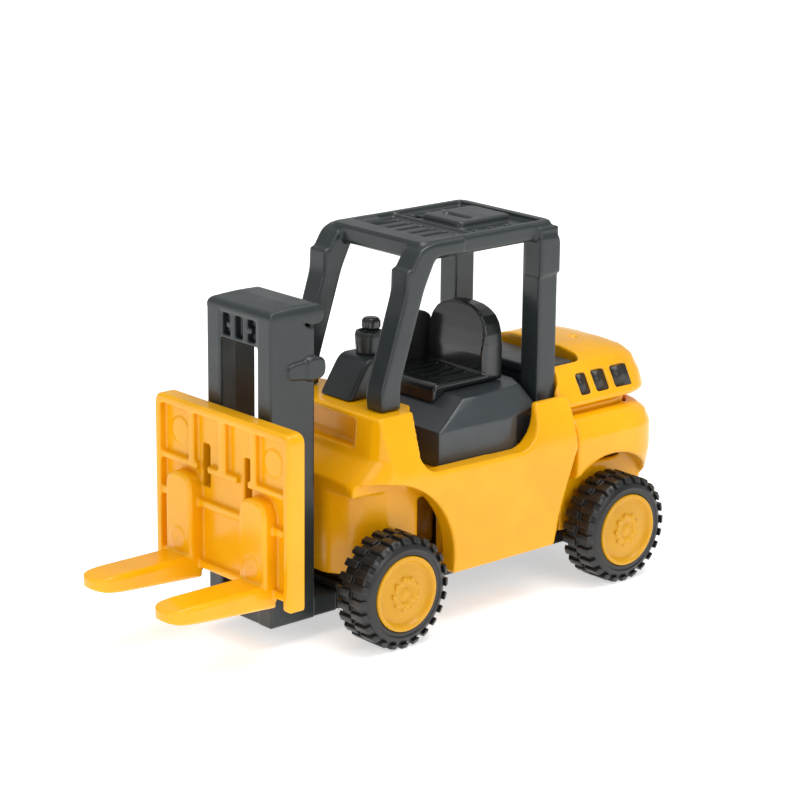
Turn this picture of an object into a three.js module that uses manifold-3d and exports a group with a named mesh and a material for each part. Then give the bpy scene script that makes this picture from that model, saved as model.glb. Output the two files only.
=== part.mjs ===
// Toy counterbalance forklift truck, a moulded plastic model with a lift carriage that slides on
// its mast and four free rolling wheels. Millimetres, +Z up, forks towards -Y, ground at z = 0.

import * as THREE from 'three';
import { mergeVertices } from 'three/addons/utils/BufferGeometryUtils.js';
import { ConvexGeometry } from 'three/addons/geometries/ConvexGeometry.js';
import Module from 'manifold-3d';

const wasm = await Module();
wasm.setup();

// ---- Driving dimensions -------------------------------------------------------------------
const tyreRadius = 8;
const tyreWidth = 6.05;
const tyreInnerX = 12.05;
const hubRadius = 5.35;
const wheelbase = 43.2;
const axleRadius = 0.8;
const groundClearance = 3.2;

const bodyHalf = 15;
const bodyBottom = 7.5;
const deckTop = 31.5;
const sillTop = 22.7;
const rearEnd = 55.6;
const counterweightRear = 54.6;

const mastHalf = 6.95;
const mastFront = -14.8;
const mastRear = -7.1;
const mastTop = 47.6;
const postWidth = 2.95;

const plateHalf = 14.8;
const plateTop = 33;
const plateBottom = 9.6;
const forkWidth = 5.7;
const forkOffset = 8.15;
const forkTip = -34.4;

const guardHalf = 10.55;
const guardLegWidth = 3.6;
const roofTop = 54.2;

const seatGap = 0.1;
const cutGap = 0.3;

// Middle of the overall length, which becomes the origin.
const middleY = (forkTip + rearEnd) / 2;

// ---- Materials ----------------------------------------------------------------------------
function plastic(color, roughness) {
  return new THREE.MeshStandardMaterial({ color, roughness, metalness: 0 });
}

const yellow = plastic(0xf9b414, 0.25);
const hubYellow = plastic(0xd9a51e, 0.35);
const charcoal = plastic(0x3c4448, 0.45);
const greyPlastic = plastic(0x5c6266, 0.4);
const gloss = plastic(0x17191a, 0.2);
const tyreRubber = plastic(0x2c2d2e, 0.6);
const blackPlastic = plastic(0x1b1c1d, 0.5);
const steel = new THREE.MeshStandardMaterial({ color: 0xb9bcc0, roughness: 0.35, metalness: 1 });

// ---- Building blocks ----------------------------------------------------------------------
function solid(geometry) {
  const bare = geometry.clone();
  for (const name of Object.keys(bare.attributes)) {
    if (name !== 'position') bare.deleteAttribute(name);
  }
  const merged = mergeVertices(bare, 1e-4);
  const mesh = new wasm.Mesh({
    numProp: 3,
    vertProperties: new Float32Array(merged.attributes.position.array),
    triVerts: new Uint32Array(merged.index.array),
  });
  return new wasm.Manifold(mesh);
}

// The tiny slivers that cuts leave are merged away first.
function geometryOf(body) {
  const mesh = body.simplify(0.008).getMesh();
  const geometry = new THREE.BufferGeometry();
  geometry.setAttribute('position', new THREE.BufferAttribute(mesh.vertProperties, 3));
  geometry.setIndex(new THREE.BufferAttribute(mesh.triVerts, 1));
  geometry.computeVertexNormals();
  return geometry;
}

function join(...bodies) {
  return bodies.reduce((all, next) => all.add(next));
}

function cut(body, ...tools) {
  return tools.reduce((rest, tool) => rest.subtract(tool), body);
}

// A closed outline from corners [a, b] or [a, b, radius]; a corner with a radius is rounded.
function outline(corners) {
  const shape = new THREE.Shape();
  const count = corners.length;
  corners.forEach(([a, b, radius = 0], i) => {
    const corner = new THREE.Vector2(a, b);
    const before = new THREE.Vector2(...corners[(i + count - 1) % count].slice(0, 2));
    const after = new THREE.Vector2(...corners[(i + 1) % count].slice(0, 2));
    const enter = before.sub(corner).setLength(radius).add(corner);
    const leave = after.sub(corner).setLength(radius).add(corner);
    if (i === 0) shape.moveTo(enter.x, enter.y);
    else shape.lineTo(enter.x, enter.y);
    if (radius > 0) shape.quadraticCurveTo(a, b, leave.x, leave.y);
  });
  shape.closePath();
  return shape;
}

function extrude(shape, depth, bevel, segments) {
  return new THREE.ExtrudeGeometry(shape, {
    depth: depth - 2 * bevel,
    curveSegments: segments,
    bevelEnabled: bevel > 0,
    bevelThickness: bevel,
    bevelSize: bevel,
    bevelOffset: -bevel,
    bevelSegments: 1,
  }).translate(0, 0, bevel);
}

// Outline in (y, z), run along X.
function alongX(shape, x0, x1, bevel = 0, segments = 3) {
  const turn = new THREE.Matrix4().makeBasis(
    new THREE.Vector3(0, 1, 0), new THREE.Vector3(0, 0, 1), new THREE.Vector3(1, 0, 0));
  return solid(extrude(shape, x1 - x0, bevel, segments).applyMatrix4(turn).translate(x0, 0, 0));
}

// Outline in (x, z), run along Y.
function alongY(shape, y0, y1, bevel = 0, segments = 3) {
  const turn = new THREE.Matrix4().makeBasis(
    new THREE.Vector3(1, 0, 0), new THREE.Vector3(0, 0, 1), new THREE.Vector3(0, -1, 0));
  return solid(extrude(shape, y1 - y0, bevel, segments).applyMatrix4(turn).translate(0, y1, 0));
}

// Outline in (x, y), run along Z.
function alongZ(shape, z0, z1, bevel = 0, segments = 3) {
  return solid(extrude(shape, z1 - z0, bevel, segments).translate(0, 0, z0));
}

function block(x0, x1, y0, y1, z0, z1) {
  return solid(new THREE.BoxGeometry(x1 - x0, y1 - y0, z1 - z0)
    .translate((x0 + x1) / 2, (y0 + y1) / 2, (z0 + z1) / 2));
}

function rodX(radius, x0, x1, y, z, sides = 24) {
  return solid(new THREE.CylinderGeometry(radius, radius, x1 - x0, sides)
    .rotateZ(Math.PI / 2).translate((x0 + x1) / 2, y, z));
}

function rodY(radius, x, y0, y1, z, sides = 24) {
  return solid(new THREE.CylinderGeometry(radius, radius, y1 - y0, sides)
    .translate(x, (y0 + y1) / 2, z));
}

function rodZ(radius, x, y, z0, z1, sides = 24) {
  return solid(new THREE.CylinderGeometry(radius, radius, z1 - z0, sides)
    .rotateX(Math.PI / 2).translate(x, y, (z0 + z1) / 2));
}

function hull(points) {
  return solid(new ConvexGeometry(points.map((p) => new THREE.Vector3(...p))));
}

// The hull of stacked outlines; each step gives a height and how far the outline is drawn in.
function layers(steps, plan) {
  return hull(steps.flatMap(([z, sideInset, rearInset]) => (
    plan(sideInset, rearInset).getPoints(10).map((p) => [p.x, p.y, z]))));
}

function bothSides(make) {
  return join(make(1), make(-1));
}

function span(side, near, far) {
  return side > 0 ? [near, far] : [-far, -near];
}

const truck = new THREE.Group();
truck.position.y = -middleY;

function add(name, body, material) {
  const mesh = new THREE.Mesh(geometryOf(body), material);
  mesh.name = name;
  truck.add(mesh);
  return mesh;
}

// ---- Wheels -------------------------------------------------------------------------------
const lugCount = 24;
const lugHeight = 0.45;

// Outline of the tread with its lugs, looking along the axle.
function treadOutline() {
  const corners = [];
  const low = tyreRadius - lugHeight;
  for (let i = 0; i < lugCount; i += 1) {
    for (const [part, radius] of [[0, low], [0.1, tyreRadius], [0.6, tyreRadius], [0.7, low]]) {
      const angle = ((i + part) / lugCount) * 2 * Math.PI;
      corners.push([radius * Math.cos(angle), radius * Math.sin(angle)]);
    }
  }
  return outline(corners);
}

// A tyre on the axle line, from x = 0 at its inner face.
function tyreBody() {
  const bore = rodX(hubRadius + seatGap, -1, tyreWidth + 1, 0, 0, 36);
  return cut(alongX(treadOutline(), 0, tyreWidth, 0.35), bore);
}

// A dished wheel disc with a raised rim, a boss ring and a bored back hub for the axle.
function hubBody() {
  const face = tyreWidth + 0.1;
  const profile = [
    [0, 0.6], [1.9, 0.6], [1.9, 2.6], [hubRadius, 2.6], [hubRadius, face],
    [hubRadius - 0.8, face], [hubRadius - 1.2, face - 0.75],
    [2.75, face - 0.55], [2.45, face - 0.15], [1.85, face - 0.15], [1.5, face - 0.5],
    [1, face - 0.3], [0, face - 0.2],
  ];
  const disc = new THREE.LatheGeometry(profile.map(([r, x]) => new THREE.Vector2(r, x)), 30)
    .rotateZ(-Math.PI / 2);
  return cut(solid(disc), rodX(axleRadius + seatGap, -1, 3.6, 0, 0, 24));
}

function wheel(name, side, y) {
  const group = new THREE.Group();
  const tyre = new THREE.Mesh(geometryOf(tyreBody()), tyreRubber);
  const hub = new THREE.Mesh(geometryOf(hubBody()), hubYellow);
  tyre.name = `tyre_${name}`;
  hub.name = `hub_${name}`;
  group.add(tyre, hub);
  group.position.set(side * tyreInnerX, y, tyreRadius);
  if (side < 0) group.rotation.z = Math.PI;
  truck.add(group);
}

wheel('front_left', 1, 0);
wheel('front_right', -1, 0);
wheel('rear_left', 1, wheelbase);
wheel('rear_right', -1, wheelbase);

const axleEnd = tyreInnerX + 3.3;
add('axle_front', rodX(axleRadius, -axleEnd, axleEnd, 0, tyreRadius, 24), steel);
add('axle_rear', rodX(axleRadius, -axleEnd, axleEnd, wheelbase, tyreRadius, 24), steel);

// ---- Chassis ------------------------------------------------------------------------------
const chassisTop = 7.2;
const screwSpots = [18, 48.6];
const mastFootRear = -2.9;

const mastPegX = 3.5;
const mastPegZ = 4.9;
const mastPegRadius = 0.9;
const mastPegRear = 1.5;

function chassisBase() {
  const plate = alongZ(outline([
    [-10, 11.5, 1], [-6.6, 9.5], [-6.6, 4], [6.6, 4], [6.6, 9.5], [10, 11.5, 1],
    [10, 52, 2], [-10, 52, 2],
  ]), 5.2, chassisTop);
  const tongue = block(-6.6, 6.6, mastFootRear + seatGap, 9.6, groundClearance, 5.9);
  const bearings = [0, wheelbase].map((y) => {
    const reach = tyreInnerX - 0.6;
    return alongX(outline([
      [y - 1.5, 5.2], [y + 1.5, 5.2], [y + 1.5, 9.5, 1.4], [y - 1.5, 9.5, 1.4],
    ]), -reach, reach);
  });
  const nose = block(-6.6, 6.6, mastFootRear + seatGap, 4.1, groundClearance, chassisTop);
  const pegSockets = [-mastPegX, mastPegX].map((x) => (
    rodY(mastPegRadius + 0.1, x, mastFootRear - 1, mastPegRear + cutGap, mastPegZ)));
  const bores = [0, wheelbase].map((y) => rodX(axleRadius + 0.05, -13, 13, y, tyreRadius, 24));
  const screwHoles = screwSpots.flatMap((y) => [
    rodZ(0.95, 0, y, 4, 8, 20),
    rodZ(1.9, 0, y, 4, 6.1, 24),
  ]);
  return cut(join(plate, tongue, nose, ...bearings), ...bores, ...screwHoles, ...pegSockets);
}

add('chassis_base', chassisBase(), blackPlastic);

// Cross recessed self tapping screw, driven up through the chassis into the body.
function chassisScrew(y) {
  const head = rodZ(1.75, 0, y, 5.3, 5.98, 24);
  const shank = rodZ(0.8, 0, y, 5.9, 12, 16);
  const cross = join(
    block(-1.1, 1.1, y - 0.22, y + 0.22, 5, 5.65),
    block(-0.22, 0.22, y - 1.1, y + 1.1, 5, 5.65),
  );
  return cut(join(head, shank), cross);
}

add('chassis_screw_front', chassisScrew(screwSpots[0]), steel);
add('chassis_screw_rear', chassisScrew(screwSpots[1]), steel);

// ---- Body shell ---------------------------------------------------------------------------
const wellHalf = 11.2;
const archFront = { y: -1, z: 10, radius: 12.6 };
const archRear = { y: wheelbase, z: tyreRadius, radius: 11.8 };
const pillarRear = 35.2;

// One side of the body from the cowl to the rear door pillar.
function sidePanel(side) {
  const [x0, x1] = span(side, wellHalf + 1, bodyHalf);
  return alongX(outline([
    [-4.6, 31.5], [-4.6, 15], [6, 15], [6, bodyBottom], [31.2, bodyBottom, 0.6],
    [32.2, 12, 1.5], [35, 19.8], [pillarRear + 0.5, 21.4], [pillarRear, 28.8, 1], [28.4, 28.9, 0.8],
    [28.4, 25.4, 1.7], [26, 22.7, 1.7], [7.2, 23, 1.6], [5, 26.4, 1], [3.1, 30, 1], [3.1, 31.5],
  ]), x0, x1, 0, 5);
}

// The cowl under the front of the guard, with its deck, front face and sloping fender.
function cowl() {
  const whole = alongX(outline([
    [-0.6, deckTop, 0.5], [-1.1, 25.8, 0.6], [-4.9, 21.5, 0.6], [-4.3, 20.6, 0.3],
    [8, 20.6], [8, sillTop], [8.2, deckTop, 0.6],
  ]), -bodyHalf, bodyHalf, 0, 5);
  const rearRound = alongZ(outline([
    [-16, -4], [16, -4], [16, 5.8], [11.4, 5.8, 1], [8.4, 9, 2], [-8.4, 9, 2],
    [-11.4, 5.8, 1], [-16, 5.8],
  ]), 20, 33);
  const recess = alongX(outline([
    [-4, 26.7], [0.2, 26.7], [0.8, 27.4, 0.5], [1, 30.6, 0.4], [-4, 30.6],
  ]), -7.8, 7.8);
  const footWell = block(-10.6, 10.6, 3.4, 20, sillTop - 1, 29.9);
  return cut(whole.intersect(rearRound), recess, footWell);
}

// Wall behind the mast that curves back into the inner sides of the wheel wells.
function bulkhead() {
  const wall = (front, side, z0, z1) => alongZ(outline([
    [-side, 3.2], [-side, 2.2, 0.8], [-side + 1.8, front + 2.6, 2], [-side + 5.8, front, 0.9],
    [side - 5.8, front, 0.9], [side - 1.8, front + 2.6, 2], [side, 2.2, 0.8], [side, 3.2],
  ]), z0, z1, 0, 5);
  return cut(wall(-4.1, wellHalf, 8.6, 21.2), wall(-2.8, wellHalf - 1.3, 5, 20.6));
}

// The part between the wheels, hollow and open underneath, with the cab floor as its roof.
function innerTub() {
  const tub = block(-wellHalf, wellHalf, 2.2, pillarRear + 0.5, bodyBottom, sillTop - 0.5);
  const hollow = block(-9.9, 9.9, 1, 37, 6, 21.2);
  const wellGap = block(-12, 12, 8, 12.4, 6, 18.4);
  return cut(tub, hollow, wellGap);
}

// The neck under the hood, behind the cab.
function rearNeck() {
  return cut(
    alongZ(outline([
      [-11, 35.2], [11, 35.2], [11, 51.4, 5], [-11, 51.4, 5],
    ]), 17.2, 26),
    block(-9.4, 9.4, 34, 49.6, 16, 24.6),
  );
}

// Roofs of the rear wheel boxes and the floor strips that tie side panels to the tub.
function tieStrips(side) {
  const [x0, x1] = span(side, wellHalf - 0.8, wellHalf + 1.2);
  return join(
    block(x0, x1, 8, 34.8, 20.2, sillTop - 0.5),
    block(x0, x1, 11.2, 30, bodyBottom + 0.6, bodyBottom + 2),
    block(...span(side, guardHalf + cutGap, wellHalf + 1.2), 29.6, 34.8, 17.8, 26),
  );
}

// Outer shape that every body part stays inside: upright below the sill, leaning in above it,
// with round front corners that follow the slope of the fender.
function bodyEnvelope() {
  const section = alongY(outline([
    [-bodyHalf, 5], [bodyHalf, 5], [bodyHalf, 22.6, 2.5], [12.2, 32], [-12.2, 32],
    [-bodyHalf, 22.6, 2.5],
  ]), -6, 60, 0, 5);
  const plan = (front, corner, z) => outline([
    [-bodyHalf, front, corner], [bodyHalf, front, corner], [bodyHalf, 60], [-bodyHalf, 60],
  ]).getPoints(6).map((p) => [p.x, p.y, z]);
  const low = hull([...plan(-5, 8.5, 5), ...plan(-5, 8.5, 21.3), ...plan(-1.2, 5.5, 25.7)]);
  const high = hull([...plan(-1.2, 5.5, 25.6), ...plan(-0.5, 5.5, 33)]);
  return section.intersect(join(low, high));
}

function bodyShell() {
  const shell = join(
    sidePanel(1), sidePanel(-1), cowl(), bulkhead(), innerTub(), rearNeck(),
    tieStrips(1), tieStrips(-1),
    rodZ(2.2, 0, screwSpots[0], chassisTop + seatGap, 21.6, 24),
    rodZ(2.2, 0, screwSpots[1], chassisTop + seatGap, 25, 24),
  );
  const hoodRoom = block(-12.65, 12.65, 33.9, 60, 26.02, 40);
  const axleRoom = block(-12, 12, -1.7, 1.7, 5, 9.75);
  const arches = bothSides((side) => (
    rodX(archFront.radius, ...span(side, wellHalf, 20), archFront.y, archFront.z, 72)));
  return cut(shell.intersect(bodyEnvelope()), hoodRoom, axleRoom, arches,
    ...screwSpots.map((y) => rodZ(0.9, 0, y, 6, 12.6, 20)));
}

add('body_shell', bodyShell(), yellow);

// ---- Counterweight ------------------------------------------------------------------------
function counterweightPlan(sideInset, rearInset) {
  const half = bodyHalf - 0.2 - sideInset;
  const rear = counterweightRear - rearInset;
  const front = pillarRear + 0.8;
  return outline([
    [-half, front, 0.6], [half, front, 0.6], [half, rear, 7.5], [-half, rear, 7.5],
  ]);
}

function counterweight() {
  const body = layers([
    [7.6, 1.6, 2.4], [14, 0.4, 0.7], [18, 0, 0.1], [22, 0.1, 0], [23.8, 0.6, 0.6], [24.8, 1.5, 1.6],
    [25.2, 2.7, 3],
  ], counterweightPlan);
  const pocket = join(
    alongZ(outline([
      [-11 - cutGap, 30], [11 + cutGap, 30], [11 + cutGap, 51.4 + cutGap, 5],
      [-11 - cutGap, 51.4 + cutGap, 5],
    ]), 16.9, 30),
    block(-10.3, 10.3, 30, 51.3, 5, 17),
    block(-12, 12, wheelbase - 1.8, wheelbase + 1.8, 5, 9.8),
  );
  const arches = bothSides((sign) => (
    rodX(archRear.radius - 0.9, ...span(sign, wellHalf, 20), archRear.y, archRear.z, 72)));
  return cut(body, pocket, arches);
}

add('counterweight', counterweight(), yellow);

// ---- Rear hood ----------------------------------------------------------------------------
const hoodBottom = 26.35;

// Outline of the hood with its sides and its rear end drawn in by the given amounts.
function hoodPlan(sideInset, rearInset) {
  const half = 12.3 - sideInset;
  const rear = rearEnd - rearInset;
  const radius = 8 - rearInset / 2;
  return outline([
    [-half, 34.2, 1.2], [half, 34.2, 1.2], [half, rear, radius], [-half, rear, radius],
  ]);
}

// A leaning side under a crowned top.
function hoodShell() {
  return layers([
    [hoodBottom, 0.25, 0.2], [26.9, 0, 0], [28.8, 0.7, 0.1], [31.3, 1.8, 1], [32.3, 2.7, 2.2],
    [33.1, 4.3, 4.2], [33.6, 6.4, 7], [33.8, 8.4, 10],
  ], hoodPlan);
}

// Three shallow pockets in each leaning side where the vents are.
function hoodVents(side) {
  const spots = [[38.8, 40.8], [42, 44.6], [45.9, 49.3]];
  return spots.map(([y0, y1]) => hull([
    [side * 10.15, y0, 30.8], [side * 10.15, y1, 30.8], [side * 11.5, y0 + 0.4, 27.7],
    [side * 11.5, y1 + 0.4, 27.7], [side * 13.4, y0 + 0.4, 28.6], [side * 13.4, y1 + 0.4, 28.6],
    [side * 12.2, y0, 31.7], [side * 12.2, y1, 31.7],
  ]));
}

function rearHood() {
  const cutOut = alongZ(outline([
    [-9.3, 30], [9.3, 30], [9.3, 41.5, 1.6], [0, 40.7, 4], [-9.3, 41.5, 1.6],
  ]), 28, 36);
  const under = hull([
    ...[-1, 1].flatMap((side) => [[25, 10.6], [27, 10.6], [30.4, 9.1]].flatMap(([z, x]) => [
      [side * x, 33, z], [side * x, 49.8, z],
    ])),
  ]);
  const legRoom = bothSides((side) => (
    block(...span(side, guardHalf - guardLegWidth - cutGap, guardHalf + cutGap), 33, 35.2, 25, 36)));
  const dimple = rodZ(0.7, 2.5, 46.5, 33.25, 35, 20);
  return cut(hoodShell(), cutOut, under, legRoom, dimple, ...hoodVents(1), ...hoodVents(-1));
}

add('rear_hood', rearHood(), yellow);

// Engine cover insert that shows through the opening in the hood.
function engineInsert() {
  return join(
    alongZ(outline([
      [-6.3, 33.2], [6.3, 33.2], [6.3, 35.6], [8.7, 35.6], [8.7, 40.6, 1],
      [0, 40, 3], [-8.7, 40.6, 1], [-8.7, 35.6], [-6.3, 35.6],
    ]), 30.9, 32.3, 0.2),
    block(-6, 6, 33.6, 37.6, 26.1, 31.2),
  );
}

add('engine_cover_insert', engineInsert(), greyPlastic);

// ---- Cab interior -------------------------------------------------------------------------
const pedestalTop = 30.9;

function pedestal() {
  const lower = alongZ(outline([
    [-11.9, 11.2], [11.9, 11.2], [12.1, 19], [12.1, 27.2, 2.4], [-12.1, 27.2, 2.4], [-12.1, 19],
  ]), sillTop - 0.4, 27.4);
  const rearBlock = block(-10.1, 10.1, 26, 32.6, sillTop - 0.4, 27.4);
  const upper = hull([
    ...[-1, 1].flatMap((side) => [
      [side * 11.9, 11.2, 27.3], [side * 12.1, 19, 27.3], [side * 11.9, 27, 27.3],
      [side * 10.4, 31.6, 27.3],
      [side * 9.9, 17.4, pedestalTop], [side * 10.4, 19.8, pedestalTop],
      [side * 9.4, 28.8, pedestalTop], [side * 6, 30.6, pedestalTop],
    ]),
  ]);
  return join(lower, rearBlock, upper);
}

function interiorPedestal() {
  const legSockets = bothSides((side) => {
    const [x0, x1] = span(side, guardHalf - guardLegWidth - cutGap - 0.2, 14);
    return block(x0, x1, 31.3 - cutGap, 40, 22, 33);
  });
  const hollow = block(-9, 9, 13, 30, 20, 27);
  return cut(pedestal(), legSockets, hollow);
}

add('seat_pedestal', interiorPedestal(), greyPlastic);

// Bucket seat: thick ribbed cushion and an arched back, moulded as one.
function seat() {
  const cushion = alongX(outline([
    [15, 29.75], [17.3, 31.05], [28.6, 31.05], [28.6, 32.3], [15.3, 32.3, 0.9],
  ]), -6.2, 6.2, 0.3);
  const back = alongY(outline([
    [-6.2, 31.6], [6.2, 31.6], [6.2, 41.8, 5.6], [-6.2, 41.8, 5.6],
  ]), 24.8, 28.9, 0.6, 6);
  const backSide = alongX(outline([
    [24.4, 31.4], [28.7, 31.4], [28.9, 38, 2], [28, 42], [25.8, 42], [25, 37, 3],
  ]), -7, 7);
  const grooves = [-3, -1, 1, 3].map((x) => block(x - 0.25, x + 0.25, 17.4, 24.4, 31.95, 33));
  return cut(join(cushion, back.intersect(backSide)), ...grooves);
}

add('seat', seat(), gloss);

// Raised dash block on the cowl deck, leaning back.
function dash() {
  return alongX(outline([
    [2.1, deckTop + seatGap], [7.8, deckTop + seatGap], [10, 35.6, 0.8], [10, 37, 0.6],
    [5.6, 37.1, 1.4],
  ]), -3.3, 3.3, 0.4, 5);
}

add('dashboard', dash(), charcoal);

// Round binnacle on the dash with the small steering wheel on top of it.
const binnacleY = 8.5;

function steeringColumn() {
  const profile = [
    [0, 37.1], [1.9, 37.1], [2.1, 39.6], [1.95, 40.2], [1.6, 40.2], [1.4, 39.8], [0.7, 39.8],
    [0.7, 40.25], [0, 40.25],
  ];
  return solid(new THREE.LatheGeometry(profile.map(([r, z]) => new THREE.Vector2(r, z)), 24)
    .rotateX(Math.PI / 2).translate(0, binnacleY, 0));
}

function steeringWheel() {
  const profile = [
    [0, -0.7], [1, -0.7], [1.35, -0.3], [1.35, 0.6], [1.05, 1], [0.6, 1.1], [0, 1.1],
  ];
  return solid(new THREE.LatheGeometry(profile.map(([r, z]) => new THREE.Vector2(r, z)), 20)
    .rotateX(Math.PI / 2).translate(0, binnacleY + 0.3, 41.05));
}

add('steering_column', steeringColumn(), charcoal);
add('steering_wheel', steeringWheel(), gloss);

// Console for the hydraulic levers at the driver's right hand.
function leverConsole() {
  return alongX(outline([
    [20.6, pedestalTop + seatGap], [26.6, pedestalTop + seatGap], [26.4, 38.4, 0.5],
    [25.2, 39.2, 0.6], [21.6, 39.2, 0.8],
  ]), -9.8, -6.8, 0.15);
}

add('lever_console', leverConsole(), blackPlastic);

// ---- Overhead guard -----------------------------------------------------------------------
const roofFront = 9.2;
const roofRear = 34.8;
const legFoot = deckTop + seatGap;

function guardFrontLeg(side) {
  const [x0, x1] = span(side, guardHalf - guardLegWidth, guardHalf);
  return alongX(outline([
    [1.9, legFoot], [5.3, legFoot], [5.3, 35.1, 1], [8.5, 44.8, 1], [9.5, 47.8, 1],
    [11.6, 52, 1], [17, 52], [17, roofTop - 0.2], [10.2, roofTop - 0.2, 1], [8.4, 53.2, 0.8],
    [7, 51], [6.2, 50.7], [6.1, 47.6, 1], [5.2, 44.8], [1.7, 34, 1],
  ]), x0, x1, 0.25);
}

function guardRearLeg(side) {
  const [x0, x1] = span(side, guardHalf - guardLegWidth, guardHalf);
  const [l0, l1] = span(side, guardHalf - 3.2, guardHalf + 0.35);
  return join(
    block(x0, x1, 31.3, 34.9, sillTop - 0.5 + seatGap, roofTop - 0.8),
    alongX(outline([
      [31.2, 46.3], [35.1, 46.7], [35.1, 52.2, 1.2], [31.2, 52.2],
    ]), l0, l1, 0.2),
  );
}

// Rim of the roof and the grille of bars inside it.
function roofFrame() {
  const rim = alongZ(outline([
    [-9.9, roofFront, 1.6], [9.9, roofFront, 1.6], [9.9, roofRear, 1.6], [-9.9, roofRear, 1.6],
  ]), roofTop - 2.7, roofTop, 0.4);
  const under = block(-6.9, 6.9, roofFront + 2, roofRear - 1.8, roofTop - 4, roofTop - 1.2);
  const hollow = block(-8.5, 8.5, roofFront + 3.4, roofRear - 1.6, roofTop - 0.7, roofTop + 1);
  return cut(rim, under, hollow);
}

function roofGrille() {
  const slotPitch = 2.5;
  const slots = [-2.5, -1.5, -0.5, 0.5, 1.5, 2.5].map((n) => alongZ(outline([
    [n * slotPitch - 0.45, 13.7, 0.4], [n * slotPitch + 0.45, 13.7, 0.4],
    [n * slotPitch + 0.45, 19.6, 0.4], [n * slotPitch - 0.45, 19.6, 0.4],
  ]), 50, 56));
  const rearSlots = bothSides((side) => join(...[22.6, 25.6, 28.6].map((y) => {
    const [x0, x1] = span(side, 5.4, 7.9);
    const slot = outline([[x0, y, 0.4], [x1, y, 0.4], [x1, y + 1.1, 0.4], [x0, y + 1.1, 0.4]]);
    return alongZ(slot, 50, 56);
  })));
  return [...slots, rearSlots];
}

function overheadGuard() {
  const hump = alongZ(outline([
    [-4.2, 21.6, 1], [4.2, 21.6, 1], [4.2, 31.6, 1], [-4.2, 31.6, 1],
  ]), roofTop - 1, roofTop + 0.35, 0.25);
  const humpSlot = alongZ(outline([
    [-2.7, 24.4, 0.4], [2.7, 24.4, 0.4], [2.7, 25.5, 0.4], [-2.7, 25.5, 0.4],
  ]), roofTop - 0.1, roofTop + 1);
  const crossRib = block(-8.6, 8.6, 20.4, 21.2, roofTop - 1, roofTop - 0.3);
  const roof = cut(join(roofFrame(), hump, crossRib), ...roofGrille(), humpSlot);
  return join(roof, guardFrontLeg(1), guardFrontLeg(-1), guardRearLeg(1), guardRearLeg(-1));
}

add('overhead_guard', overheadGuard(), charcoal);

// ---- Mast ---------------------------------------------------------------------------------
const capBottom = 46.2;
const headerBottom = 42.3;
const webInner = 6.05;
const flangeRear = mastFront + 3;

// One post: a front flange for the carriage to run behind and a thin side web.
function mastPost(side) {
  const post = alongX(outline([
    [mastFront, groundClearance], [mastRear, groundClearance], [mastRear, 44.6],
    [mastRear - 1.3, 44.7, 0.6], [mastRear - 2.5, capBottom + 0.1], [mastFront, capBottom + 0.1],
  ]), ...span(side, mastHalf - postWidth, mastHalf), 0.2);
  const track = block(...span(side, 3, webInner), flangeRear, mastRear + 1, 6.2, headerBottom);
  return cut(post, track);
}

// Stepped bar on the outside of the left post.
function mastBracket() {
  const bar = alongX(outline([
    [-12, 38, 0.8], [-12, 39.8, 0.8], [-8.7, 40.2], [-8.7, 37.6],
  ]), webInner + 0.1, mastHalf + 0.35, 0.15);
  const knuckle = alongX(outline([
    [-9, 37.2, 1.1], [-9, 40.6, 1.1], [-5.5, 40.4, 1.3], [-5.5, 37.4, 1.3],
  ]), webInner + 0.1, mastHalf + 0.6, 0.3, 4);
  return join(bar, knuckle);
}

// Window in the header; the outer two have a nub that nearly parts them in half.
function headerWindow(x) {
  const opening = block(x - 0.85, x + 0.85, mastFront - 1, mastFront + 1.3, 42.8, 45.8);
  if (x === 0) return opening;
  const nub = block(...span(Math.sign(x), 1.6, 2.7), mastFront - 1, mastFront + 3, 43.9, 44.7);
  return cut(opening, nub);
}

// The rounded top of the mast, with a thick roll that hangs over at the rear.
function mastCap() {
  const profile = alongX(outline([
    [mastFront, capBottom], [-9.6, capBottom], [-8.2, 44.9, 1], [-5.4, 44.9, 1.3],
    [-5.4, mastTop, 1.3], [-10, mastTop + 0.2], [mastFront, mastTop - 0.2, 1],
  ]), -mastHalf, mastHalf, 0, 5);
  const ends = alongY(outline([
    [-mastHalf, 44.5], [mastHalf, 44.5], [mastHalf, mastTop + 0.3, 1.7],
    [-mastHalf, mastTop + 0.3, 1.7],
  ]), -16, -5, 0, 5);
  return profile.intersect(ends);
}

function mastFrame() {
  const header = cut(
    block(-5, 5, mastFront + 0.1, mastRear - 2.4, headerBottom, capBottom + 0.1),
    block(-3, 3, mastFront + 2.4, mastRear, headerBottom - 1, capBottom),
    ...[-2.7, 0, 2.7].map(headerWindow),
  );
  const foot = block(-5, 5, mastFront + 0.1, mastRear, groundClearance, 6);
  const heel = block(-6.6, 6.6, mastRear - 0.3, mastFootRear, groundClearance, 6);
  const pegs = [-mastPegX, mastPegX].map((x) => (
    rodY(mastPegRadius, x, mastFootRear - 0.5, mastPegRear, mastPegZ)));
  return join(mastPost(1), mastPost(-1), mastBracket(), header, mastCap(), foot, heel, ...pegs);
}

add('mast_frame', mastFrame(), charcoal);

// ---- Carriage with forks ------------------------------------------------------------------
const plateRear = -15.1;
const plateFace = -16.9;
const rimFront = -18.1;

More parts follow.
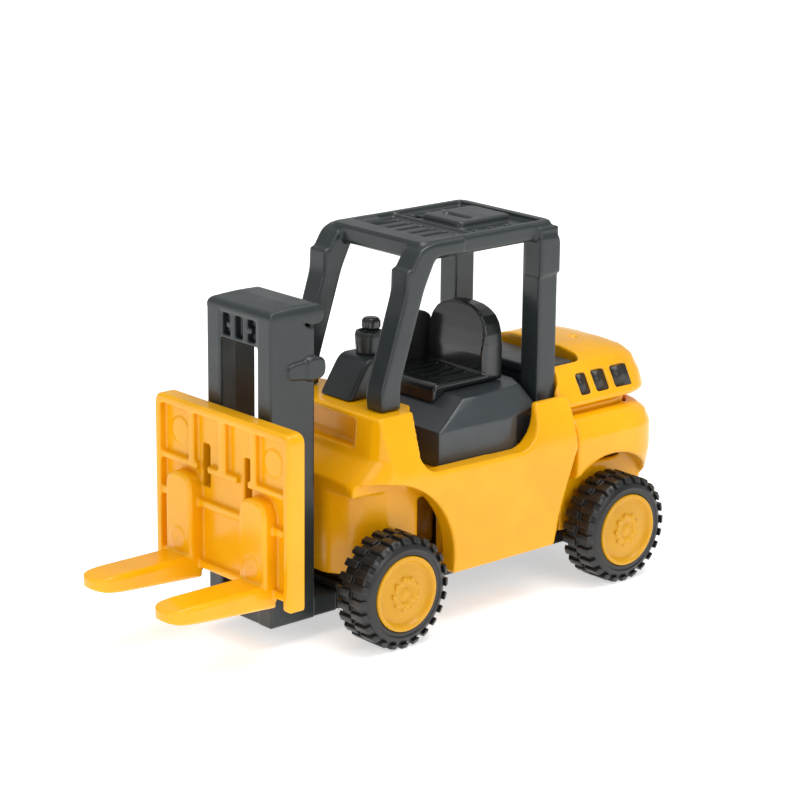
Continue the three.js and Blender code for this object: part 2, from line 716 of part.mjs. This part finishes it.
function carriagePlate() {
  const back = alongY(outline([
    [-plateHalf, 8.4], [-13, 8.4], [-13, plateBottom], [13, plateBottom],
    [13, 8.4], [plateHalf, 8.4], [plateHalf, plateTop, 1.6], [-plateHalf, plateTop, 1.6],
  ]), rimFront, plateRear, 0.35, 5);
  const dish = alongY(outline([
    [-13.5, 5], [13.5, 5], [13.5, 31.7, 0.6], [-13.5, 31.7, 0.6],
  ]), rimFront - 1, plateFace);
  const slots = [-4.6, 4.6].map((x) => block(x - 0.8, x + 0.8, -20, -10, 21.3, 27.4));
  const bottomLip = block(-13.6, 13.6, rimFront + 0.4, plateFace + 0.2, plateBottom, 10.7);
  return cut(join(cut(back, dish), bottomLip), ...slots);
}

function carriageRibs() {
  const front = plateFace - 0.95;
  const rear = plateFace + 0.2;
  const ribs = [
    [-13.6, -5.6, 23.7, 24.7], [5.6, 13.6, 23.7, 24.7], [-3.2, 3.2, 23.7, 24.7],
    [-13.6, 13.6, 18.5, 19.6],
    [-7.4, -6.2, 24.2, 31.8], [6.2, 7.4, 24.2, 31.8], [-0.8, 0.8, 24.2, 31.8],
  ];
  return ribs.map(([x0, x1, z0, z1]) => block(x0, x1, front, rear, z0, z1));
}

function fork(side) {
  const x = side * forkOffset;
  const half = forkWidth / 2;
  const upright = alongY(outline([
    [x - half, 9], [x + half, 9], [x + half, 23, 2.6], [x - half, 23, 2.6],
  ]), -19.2, plateFace + 0.2, 0.35, 5);
  const blade = alongX(outline([
    [plateFace, 7.9], [plateFace, 11.4], [forkTip + 2.2, 11.4, 1.8], [forkTip, 10.9], [forkTip, 9.5],
    [forkTip + 2.8, 8.8, 2],
  ]), x - half, x + half, 0.5, 5);
  const tip = alongZ(outline([
    [x - half, plateFace + 1], [x + half, plateFace + 1], [x + half, forkTip + 3.8],
    [x + half - 0.5, forkTip, 2.3], [x - half + 0.5, forkTip, 2.3], [x - half, forkTip + 3.8],
  ]), 5, 14, 0, 6);
  return join(upright, blade.intersect(tip));
}

// Hooked guides behind the plate that run inside the mast and keep the carriage on it.
function guide(side) {
  const inner = mastHalf - postWidth - 0.1;
  const hookFront = flangeRear + 0.1;
  return join(
    block(...span(side, inner - 1.5, inner), plateRear - 0.4, hookFront + 1.4, 20, 28.6),
    block(...span(side, inner - 1.5, webInner - 0.4), hookFront, hookFront + 1.4, 20, 28.6),
  );
}

// Faint round marks that the mould leaves on the plate and on the fork uprights.
function mouldMarks() {
  return [-1, 1].flatMap((side) => [
    rodY(1.9, side * 10.2, plateFace - 0.15, plateFace + 0.3, 28.1, 20),
    rodY(1.7, side * forkOffset, -19.33, -18.9, 13.4, 20),
  ]);
}

function carriage() {
  return join(
    carriagePlate(), ...carriageRibs(), ...mouldMarks(),
    fork(1), fork(-1), guide(1), guide(-1),
  );
}

add('carriage', carriage(), yellow);

export default truck;
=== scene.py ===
"""Looks of the toy forklift truck: materials, softened mouldings, tyres, hubs, light and camera."""

import math

import bmesh
import bpy
from mathutils import Matrix, Vector


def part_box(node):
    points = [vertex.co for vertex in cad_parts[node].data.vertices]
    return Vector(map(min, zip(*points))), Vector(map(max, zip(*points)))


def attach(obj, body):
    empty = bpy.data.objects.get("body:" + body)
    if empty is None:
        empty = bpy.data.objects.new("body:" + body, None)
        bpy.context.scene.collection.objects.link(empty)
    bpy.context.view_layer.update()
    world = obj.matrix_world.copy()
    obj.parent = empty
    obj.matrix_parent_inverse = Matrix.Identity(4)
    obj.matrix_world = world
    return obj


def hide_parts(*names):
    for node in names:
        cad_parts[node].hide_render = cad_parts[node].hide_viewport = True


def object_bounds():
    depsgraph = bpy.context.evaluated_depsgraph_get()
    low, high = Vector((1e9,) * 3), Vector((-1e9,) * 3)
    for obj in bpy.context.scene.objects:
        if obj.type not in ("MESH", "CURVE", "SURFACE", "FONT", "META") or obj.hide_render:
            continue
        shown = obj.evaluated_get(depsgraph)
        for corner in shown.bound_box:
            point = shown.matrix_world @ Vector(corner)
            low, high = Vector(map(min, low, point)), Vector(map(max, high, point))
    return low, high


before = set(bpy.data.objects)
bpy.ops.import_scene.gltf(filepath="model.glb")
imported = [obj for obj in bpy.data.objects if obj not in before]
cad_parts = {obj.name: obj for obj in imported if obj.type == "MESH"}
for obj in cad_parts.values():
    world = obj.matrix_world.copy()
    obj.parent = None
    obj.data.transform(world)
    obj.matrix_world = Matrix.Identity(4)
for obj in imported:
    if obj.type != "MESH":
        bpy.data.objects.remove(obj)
cad_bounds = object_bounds()

MM = 0.001
ON_AXIS = 1e-6
TRUCK = "truck"


# ---- Materials ------------------------------------------------------------------------------
def new_material(name):
    material = bpy.data.materials.new(name)
    material.use_nodes = True
    nodes = material.node_tree.nodes
    nodes.clear()
    shader = nodes.new("ShaderNodeBsdfPrincipled")
    output = nodes.new("ShaderNodeOutputMaterial")
    material.node_tree.links.new(shader.outputs["BSDF"], output.inputs["Surface"])
    return material, shader


def noise(material, scale, detail=3.0):
    """A noise texture in the object's own metres; scale is in waves per metre."""
    nodes, links = material.node_tree.nodes, material.node_tree.links
    coordinates = nodes.new("ShaderNodeTexCoord")
    texture = nodes.new("ShaderNodeTexNoise")
    texture.inputs["Scale"].default_value = scale
    texture.inputs["Detail"].default_value = detail
    links.new(coordinates.outputs["Object"], texture.inputs["Vector"])
    return texture.outputs["Fac"]


def ramp(material, factor, stops):
    nodes, links = material.node_tree.nodes, material.node_tree.links
    colours = nodes.new("ShaderNodeValToRGB")
    elements = colours.color_ramp.elements
    while len(elements) < len(stops):
        elements.new(0.5)
    for element, (place, colour) in zip(elements, stops):
        element.position = place
        element.color = (*colour, 1.0)
    links.new(factor, colours.inputs["Fac"])
    return colours.outputs["Color"]


def spread(material, factor, low, high):
    nodes, links = material.node_tree.nodes, material.node_tree.links
    limits = nodes.new("ShaderNodeMapRange")
    limits.inputs["From Min"].default_value = 0.3
    limits.inputs["From Max"].default_value = 0.7
    limits.inputs["To Min"].default_value = low
    limits.inputs["To Max"].default_value = high
    links.new(factor, limits.inputs["Value"])
    return limits.outputs["Result"]


def mixed(material, factor, first, second):
    nodes, links = material.node_tree.nodes, material.node_tree.links
    mix = nodes.new("ShaderNodeMix")
    mix.data_type = "RGBA"
    links.new(factor, mix.inputs["Factor"])
    links.new(first, mix.inputs["A"])
    mix.inputs["B"].default_value = (*second, 1.0)
    return mix.outputs["Result"]


def bump(material, shader, coarse, fine, strength, distance):
    """Slow waviness of the moulding plus its fine surface grain."""
    nodes, links = material.node_tree.nodes, material.node_tree.links
    height = nodes.new("ShaderNodeMath")
    height.operation = "MULTIPLY_ADD"
    links.new(noise(material, fine, 4.0), height.inputs[0])
    height.inputs[1].default_value = 0.25
    links.new(noise(material, coarse, 2.0), height.inputs[2])
    relief = nodes.new("ShaderNodeBump")
    relief.inputs["Strength"].default_value = strength
    relief.inputs["Distance"].default_value = distance
    links.new(height.outputs["Value"], relief.inputs["Height"])
    links.new(relief.outputs["Normal"], shader.inputs["Normal"])


def painted_edge_highlight(material, colour, highlight_colour):
    """Paints a highlight on the outer edges: blends towards a paler colour there, broken up by noise.
    """
    nodes, links = material.node_tree.nodes, material.node_tree.links
    geometry = nodes.new("ShaderNodeNewGeometry")
    edges = nodes.new("ShaderNodeMapRange")
    edges.inputs["From Min"].default_value = 0.53
    edges.inputs["From Max"].default_value = 0.62
    edges.inputs["To Max"].default_value = 0.35
    links.new(geometry.outputs["Pointiness"], edges.inputs["Value"])
    broken = nodes.new("ShaderNodeMath")
    broken.operation = "MULTIPLY"
    links.new(edges.outputs["Result"], broken.inputs[0])
    links.new(spread(material, noise(material, 900.0), 0.1, 1.0), broken.inputs[1])
    return mixed(material, broken.outputs["Value"], colour, highlight_colour)


def plastic(name, base, roughness, grain, highlight_colour, subsurface=0.0, coat=0.0, specular=0.5):
    """Moulded plastic: base colour with slow variation, uneven gloss, grain and a painted highlight on
    the edges.
    """
    material, shader = new_material(name)
    links = material.node_tree.links
    darker = tuple(0.9 * c for c in base)
    lighter = tuple(min(1.0, 1.07 * c + 0.004) for c in base)
    colour = ramp(material, noise(material, 90.0), [(0.3, darker), (0.5, base), (0.7, lighter)])
    links.new(painted_edge_highlight(material, colour, highlight_colour), shader.inputs["Base Color"])
    uneven = spread(material, noise(material, 260.0), 0.85 * roughness, 1.2 * roughness)
    links.new(uneven, shader.inputs["Roughness"])
    shader.inputs["Specular IOR Level"].default_value = specular
    shader.inputs["Coat Weight"].default_value = coat
    shader.inputs["Coat Roughness"].default_value = 0.12
    shader.inputs["Subsurface Weight"].default_value = subsurface
    shader.inputs["Subsurface Radius"].default_value = (1.0, 0.45, 0.1)
    shader.inputs["Subsurface Scale"].default_value = 0.8 * MM
    bump(material, shader, 350.0, 4200.0, grain, 0.05 * MM)
    return material


def steel(name):
    material, shader = new_material(name)
    links = material.node_tree.links
    shader.inputs["Metallic"].default_value = 1.0
    tone = noise(material, 700.0)
    links.new(ramp(material, tone, [(0.3, (0.5, 0.51, 0.52)), (0.7, (0.68, 0.69, 0.7))]),
              shader.inputs["Base Color"])
    links.new(spread(material, tone, 0.22, 0.42), shader.inputs["Roughness"])
    bump(material, shader, 1500.0, 6000.0, 0.2, 0.02 * MM)
    return material


def floor_material():
    material, shader = new_material("pale_floor")
    links = material.node_tree.links
    stops = [(0.3, (0.86, 0.86, 0.86)), (0.7, (0.9, 0.9, 0.9))]
    links.new(ramp(material, noise(material, 4.0), stops), shader.inputs["Base Color"])
    shader.inputs["Roughness"].default_value = 0.7
    shader.inputs["Specular IOR Level"].default_value = 0.15
    shader.inputs["Emission Color"].default_value = (1.0, 1.0, 1.0, 1.0)
    shader.inputs["Emission Strength"].default_value = 0.52
    return material


# The last colour given to each plastic is the paler tone of its painted edge highlight.
YELLOW = plastic("body_yellow_plastic", (0.9, 0.425, 0.0015), 0.22, 0.12, (0.97, 0.52, 0.02),
                 subsurface=0.06, coat=0.12, specular=0.35)
HUB_YELLOW = plastic("hub_yellow_plastic", (0.64, 0.32, 0.006), 0.3, 0.15, (0.72, 0.42, 0.03),
                     subsurface=0.08, coat=0.1, specular=0.3)
CHARCOAL = plastic("frame_charcoal_plastic", (0.018, 0.0245, 0.026), 0.34, 0.3, (0.05, 0.06, 0.062),
                   coat=0.1)
GREY = plastic("cab_grey_plastic", (0.036, 0.044, 0.05), 0.34, 0.25, (0.08, 0.09, 0.1), coat=0.1)
GLOSS_BLACK = plastic("seat_gloss_black_plastic", (0.010, 0.0115, 0.012), 0.2, 0.12,
                      (0.05, 0.055, 0.06), coat=0.4)
CHASSIS_BLACK = plastic("chassis_black_plastic", (0.011, 0.0115, 0.012), 0.4, 0.25,
                        (0.05, 0.05, 0.05))
TYRE = plastic("tyre_vinyl", (0.011, 0.0115, 0.012), 0.34, 0.35, (0.03, 0.03, 0.031))
VENT_BLACK = plastic("vent_black_paint", (0.012, 0.011, 0.009), 0.3, 0.3, (0.05, 0.04, 0.02))
STEEL = steel("pin_steel")

NODE_LOOKS = {
    "body_shell": (YELLOW, 0.24, 5),
    "counterweight": (YELLOW, 0.24, 8),
    "rear_hood": (YELLOW, 0.22, 8),
    "carriage": (YELLOW, 0.16, 5),
    "overhead_guard": (CHARCOAL, 0.2, 4),
    "mast_frame": (CHARCOAL, 0.13, 6),
    "dashboard": (CHARCOAL, 0.12, 8),
    "steering_column": (CHARCOAL, 0.1, 3),
    "steering_wheel": (GLOSS_BLACK, 0.08, 3),
    "seat": (GLOSS_BLACK, 0.14, 6),
    "seat_pedestal": (GREY, 0.2, 4),
    "engine_cover_insert": (GREY, 0.16, 3),
    "lever_console": (CHASSIS_BLACK, 0.14, 3),
    "chassis_base": (CHASSIS_BLACK, 0.24, 2),
}


def paint(node, material):
    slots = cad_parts[node].data.materials
    if not slots:
        slots.append(material)
    for index in range(len(slots)):
        slots[index] = material


def soften(node, cell, passes):
    """Gives a CAD moulding the rounded edges that the mould leaves; cell is in millimetres."""
    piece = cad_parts[node]
    remesh = piece.modifiers.new("moulding", "REMESH")
    remesh.mode = "VOXEL"
    remesh.voxel_size = cell * MM
    remesh.use_smooth_shade = True
    smooth = piece.modifiers.new("round_edges", "SMOOTH")
    smooth.factor = 0.5
    smooth.iterations = passes


for node_name, (look, cell_size, smooth_passes) in NODE_LOOKS.items():
    paint(node_name, look)
    soften(node_name, cell_size, smooth_passes)

for node_name in ("axle_front", "axle_rear", "chassis_screw_front", "chassis_screw_rear"):
    paint(node_name, STEEL)
    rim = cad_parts[node_name].modifiers.new("edge", "BEVEL")
    rim.width = 0.08 * MM
    rim.limit_method = "ANGLE"
    rim.segments = 2


# ---- Making pieces ---------------------------------------------------------------------------
def finish_piece(name, work, material, body, stands_for=()):
    """Turns a bmesh in the row frame into a piece that rides on a body."""
    bmesh.ops.recalc_face_normals(work, faces=work.faces)
    for face in work.faces:
        face.smooth = True
    mesh = bpy.data.meshes.new(name)
    work.to_mesh(mesh)
    work.free()
    mesh.materials.append(material)
    piece = bpy.data.objects.new(name, mesh)
    bpy.context.scene.collection.objects.link(piece)
    if stands_for:
        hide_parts(*stands_for)
    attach(piece, body)
    return piece


def lathe(work, profile, segments):
    """Turns a closed profile of (radius, x) points about the X axis."""
    rings = []
    for radius, x in profile:
        if radius < ON_AXIS:
            rings.append([work.verts.new((x, 0.0, 0.0))] * segments)
            continue
        turns = (2 * math.pi * k / segments for k in range(segments))
        rings.append([work.verts.new((x, radius * math.cos(a), radius * math.sin(a))) for a in turns])
    for before, after in zip(rings, rings[1:] + rings[:1]):
        for k in range(segments):
            near = (k + 1) % segments
            corners = list(dict.fromkeys((before[k], before[near], after[near], after[k])))
            if len(corners) > 2:
                work.faces.new(corners)


def rounded(points, radius, steps=3):
    """A closed profile with each corner off the axis replaced by a short curve."""
    result = []
    count = len(points)
    for i, point in enumerate(points):
        if point[0] < ON_AXIS:
            result.append(point)
            continue
        corner = Vector(point)
        before = Vector(points[i - 1]) - corner
        after = Vector(points[(i + 1) % count]) - corner
        reach = min(radius, 0.45 * before.length, 0.45 * after.length)
        enter = corner + before.normalized() * reach
        leave = corner + after.normalized() * reach
        for k in range(steps + 1):
            t = k / steps
            bend = enter * (1 - t) ** 2 + corner * 2 * t * (1 - t) + leave * t**2
            result.append((bend.x, bend.y))
    return result


# ---- Wheels ----------------------------------------------------------------------------------
WHEELS = {
    "front_left": "front_wheels", "front_right": "front_wheels",
    "rear_left": "rear_wheels", "rear_right": "rear_wheels",
}
LUGS = 24
LUG_HEIGHT = 0.42 * MM
LUG_TOP_SHARE = 0.8
LUG_EDGE = 0.12 * MM
TREAD_HALF_GAP = 0.12 * MM
SHOULDER = 0.5 * MM
HUB_BUMPS = 9
HUB_BUMP_RADIUS = 0.4 * MM
HUB_RING_RADIUS = 2.1 * MM


def wheel_place(name):
    """Centre of the wheel's inner face and the way it faces, with its radius and width."""
    low, high = (Vector(corner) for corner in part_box(f"tyre_{name}"))
    side = 1.0 if low.x > 0 else -1.0
    inner = low.x if side > 0 else high.x
    centre = Vector((inner, (low.y + high.y) / 2, (low.z + high.z) / 2))
    return centre, side, (high.z - low.z) / 2, high.x - low.x


def place_wheel(work, centre, side):
    turn = Matrix.Identity(4) if side > 0 else Matrix.Rotation(math.pi, 4, "Z")
    bmesh.ops.transform(work, matrix=Matrix.Translation(centre) @ turn, verts=work.verts)


def add_lug(work, angle, half_angle, near_x, far_x, base, top, shoulder_x):
    """One tread block: a flat-topped wedge whose outer end slopes down over the shoulder."""
    corners = []
    low_shoulder = base - 0.25 * MM
    for turn in (-half_angle, half_angle):
        for x, radius in ((near_x, base), (near_x, top), (far_x, top), (shoulder_x, low_shoulder)):
            around = angle + turn * (LUG_TOP_SHARE if radius == top else 1.0)
            corners.append(work.verts.new((x, radius * math.cos(around), radius * math.sin(around))))
    first, second = corners[:4], corners[4:]
    faces = [work.faces.new(first), work.faces.new(list(reversed(second)))]
    for k in range(4):
        near = (k + 1) % 4
        faces.append(work.faces.new((first[k], second[k], second[near], first[near])))
    edges = list({edge for face in faces for edge in face.edges})
    bmesh.ops.bevel(work, geom=edges, offset=LUG_EDGE, segments=2, affect="EDGES", profile=0.6)


def hub_radius(name):
    low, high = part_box(f"hub_{name}")
    return (high[2] - low[2]) / 2


def tyre(name, body):
    """A smooth carcass with two staggered rows of lugs; x = 0 is the inner face."""
    centre, side, radius, width = wheel_place(name)
    bore = hub_radius(name) + 0.06 * MM
    base = radius - LUG_HEIGHT
    work = bmesh.new()
    carcass = rounded([
        (bore, 0.15 * MM), (radius - 1.9 * MM, 0.0), (radius - 1.0 * MM, 0.35 * MM),
        (base, 1.0 * MM), (base, width / 2 - 0.25 * MM), (base - 0.2 * MM, width / 2),
        (base, width / 2 + 0.25 * MM), (base, width - 1.0 * MM),
        (radius - 1.0 * MM, width - 0.35 * MM), (radius - 1.75 * MM, width - 0.02 * MM),
        (radius - 2.0 * MM, width - 0.22 * MM), (bore + 0.1 * MM, width - 0.12 * MM),
        (bore, width - 0.3 * MM),
    ], 0.3 * MM)
    lathe(work, carcass, 96)
    pitch = 2 * math.pi / LUGS
    foot = base - 0.1 * MM
    for k in range(LUGS):
        add_lug(work, k * pitch, 0.3 * pitch, width / 2 + TREAD_HALF_GAP, width - SHOULDER,
                foot, radius, width - 0.02 * MM)
        add_lug(work, (k + 0.5) * pitch, 0.3 * pitch, width / 2 - TREAD_HALF_GAP, SHOULDER,
                foot, radius, 0.02 * MM)
    place_wheel(work, centre, side)
    finish_piece(f"tyre_{name}_tread", work, TYRE, body, (f"tyre_{name}",))


def hub(name, body):
    """A dished disc with a rim, a boss ring with bumps on it and a hollow for the axle."""
    centre, side, _, width = wheel_place(name)
    radius = hub_radius(name)
    face = width + 0.1 * MM
    work = bmesh.new()
    disc = rounded([
        (0.85 * MM, 0.62 * MM), (1.9 * MM, 0.62 * MM), (1.9 * MM, 2.6 * MM), (radius, 2.6 * MM),
        (radius, face), (radius - 0.55 * MM, face), (radius - 1.0 * MM, face - 0.7 * MM),
        (2.35 * MM, face - 0.5 * MM), (2.1 * MM, face - 0.2 * MM), (1.5 * MM, face - 0.2 * MM),
        (1.2 * MM, face - 0.5 * MM), (0.8 * MM, face - 0.45 * MM), (0.5 * MM, face - 0.2 * MM),
        (0.0, face - 0.14 * MM), (0.0, 3.5 * MM), (0.85 * MM, 3.5 * MM),
    ], 0.22 * MM)
    lathe(work, disc, 72)
    for k in range(HUB_BUMPS):
        angle = 2 * math.pi * (k + 0.5) / HUB_BUMPS
        y, z = HUB_RING_RADIUS * math.cos(angle), HUB_RING_RADIUS * math.sin(angle)
        shape = Matrix.Translation((face - 0.27 * MM, y, z)) @ Matrix.Diagonal((0.5, 1.0, 1.0, 1.0))
        bmesh.ops.create_uvsphere(
            work, u_segments=12, v_segments=8, radius=HUB_BUMP_RADIUS, matrix=shape)
    place_wheel(work, centre, side)
    finish_piece(f"hub_{name}_disc", work, HUB_YELLOW, body, (f"hub_{name}",))


for wheel_name, wheel_body in WHEELS.items():
    tyre(wheel_name, wheel_body)
    hub(wheel_name, wheel_body)


# ---- Hood vents ------------------------------------------------------------------------------
# Ends of each vent behind the front of the hood, in millimetres, and heights above its bottom.
HOOD_LOW, HOOD_HIGH = (Vector(corner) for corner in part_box("rear_hood"))
VENTS = ((4.6, 6.6), (7.8, 10.4), (11.7, 15.1))
VENT_LOW, VENT_HIGH = 1.45 * MM, 4.35 * MM
VENT_DEEP, VENT_SHALLOW = 0.5 * MM, 0.12 * MM
HOOD_LIP = 0.55 * MM
HOOD_SIDE_LEAN = 0.41


def hood_side_x(z):
    """Half width of the leaning hood side at a height, in metres."""
    rise = z - HOOD_LOW.z - HOOD_LIP
    return HOOD_HIGH.x - max(0.0, rise) * HOOD_SIDE_LEAN


def vent(side, number, near, far):
    """Black inlay on the floor of one vent pocket."""
    low, high = HOOD_LOW.z + VENT_LOW, HOOD_LOW.z + VENT_HIGH
    work = bmesh.new()
    layers = []
    for depth in (VENT_DEEP, VENT_SHALLOW):
        ring = []
        for y, z, lean in ((near, low, 0.36), (far, low, 0.36), (far, high, 0.02), (near, high, 0.02)):
            x = side * (hood_side_x(z) - depth)
            ring.append(work.verts.new((x, HOOD_LOW.y + (y + lean) * MM, z)))
        layers.append(ring)
    work.faces.new(layers[0])
    work.faces.new(layers[1])
    for k in range(4):
        near_k = (k + 1) % 4
        work.faces.new((layers[0][k], layers[0][near_k], layers[1][near_k], layers[1][k]))
    bmesh.ops.bevel(work, geom=work.edges[:], offset=0.06 * MM, segments=2, affect="EDGES")
    word = "left" if side > 0 else "right"
    finish_piece(f"hood_vent_{word}_{number}", work, VENT_BLACK, TRUCK)


for vent_number, (vent_near, vent_far) in enumerate(VENTS, start=1):
    vent(1, vent_number, vent_near, vent_far)
    vent(-1, vent_number, vent_near, vent_far)


# ---- Floor, light and camera -----------------------------------------------------------------
def add_floor():
    work = bmesh.new()
    bmesh.ops.create_grid(work, x_segments=2, y_segments=2, size=3.0)
    mesh = bpy.data.meshes.new("floor")
    work.to_mesh(mesh)
    work.free()
    mesh.materials.append(floor_material())
    floor = bpy.data.objects.new("floor", mesh)
    floor.location = (0.0, 0.0, cad_bounds[0][2])
    bpy.context.scene.collection.objects.link(floor)


LIGHT_AIM = Vector((0.0, 0.0, 0.02))


def area_light(name, place, size, power):
    light = bpy.data.lights.new(name, "AREA")
    light.shape = "RECTANGLE"
    light.size, light.size_y = size
    light.energy = power
    lamp = bpy.data.objects.new(name, light)
    lamp.location = place
    lamp.rotation_euler = (LIGHT_AIM - Vector(place)).to_track_quat("-Z", "Y").to_euler()
    bpy.context.scene.collection.objects.link(lamp)


def add_light():
    world = bpy.data.worlds.new("studio")
    bpy.context.scene.world = world
    world.use_nodes = True
    background = world.node_tree.nodes["Background"]
    background.inputs["Color"].default_value = (1.0, 1.0, 1.0, 1.0)
    background.inputs["Strength"].default_value = 0.46
    area_light("top_softbox", (0.08, 0.08, 0.6), (0.45, 0.45), 2.5)
    area_light("side_softbox", (0.5, -0.02, 0.28), (0.25, 0.25), 0.62)
    area_light("front_fill", (0.05, -0.5, 0.25), (0.3, 0.3), 0.55)


CAMERA_AZIMUTH = math.radians(48.47)
CAMERA_ELEVATION = math.radians(15.71)
CAMERA_ROLL = math.radians(0.55)
CAMERA_DISTANCE = 0.3821
FRAMING = (2.83 * MM, 2.23 * MM)
MIDDLE = Vector((0.0, 0.0, 27.4 * MM))


def add_camera():
    """Looks at the truck from its left front; FRAMING slides the picture right and up."""
    sine, cosine = math.sin(CAMERA_AZIMUTH), math.cos(CAMERA_AZIMUTH)
    back = Vector((sine * math.cos(CAMERA_ELEVATION), -cosine * math.cos(CAMERA_ELEVATION),
                   math.sin(CAMERA_ELEVATION)))
    level = Vector((cosine, sine, 0.0))
    upright = back.cross(level)
    right = level * math.cos(CAMERA_ROLL) + upright * math.sin(CAMERA_ROLL)
    up = upright * math.cos(CAMERA_ROLL) - level * math.sin(CAMERA_ROLL)
    data = bpy.data.cameras.new("camera")
    data.sensor_width = 36.0
    data.lens = 121.28
    data.clip_start = 0.01
    camera = bpy.data.objects.new("camera", data)
    target = MIDDLE + right * FRAMING[0] + up * FRAMING[1]
    turn = Matrix((right, up, back)).transposed().to_4x4()
    camera.matrix_world = Matrix.Translation(target + back * CAMERA_DISTANCE) @ turn
    bpy.context.scene.collection.objects.link(camera)
    bpy.context.scene.camera = camera


add_floor()
add_light()
add_camera()
bpy.context.scene.view_settings.view_transform = "Standard"
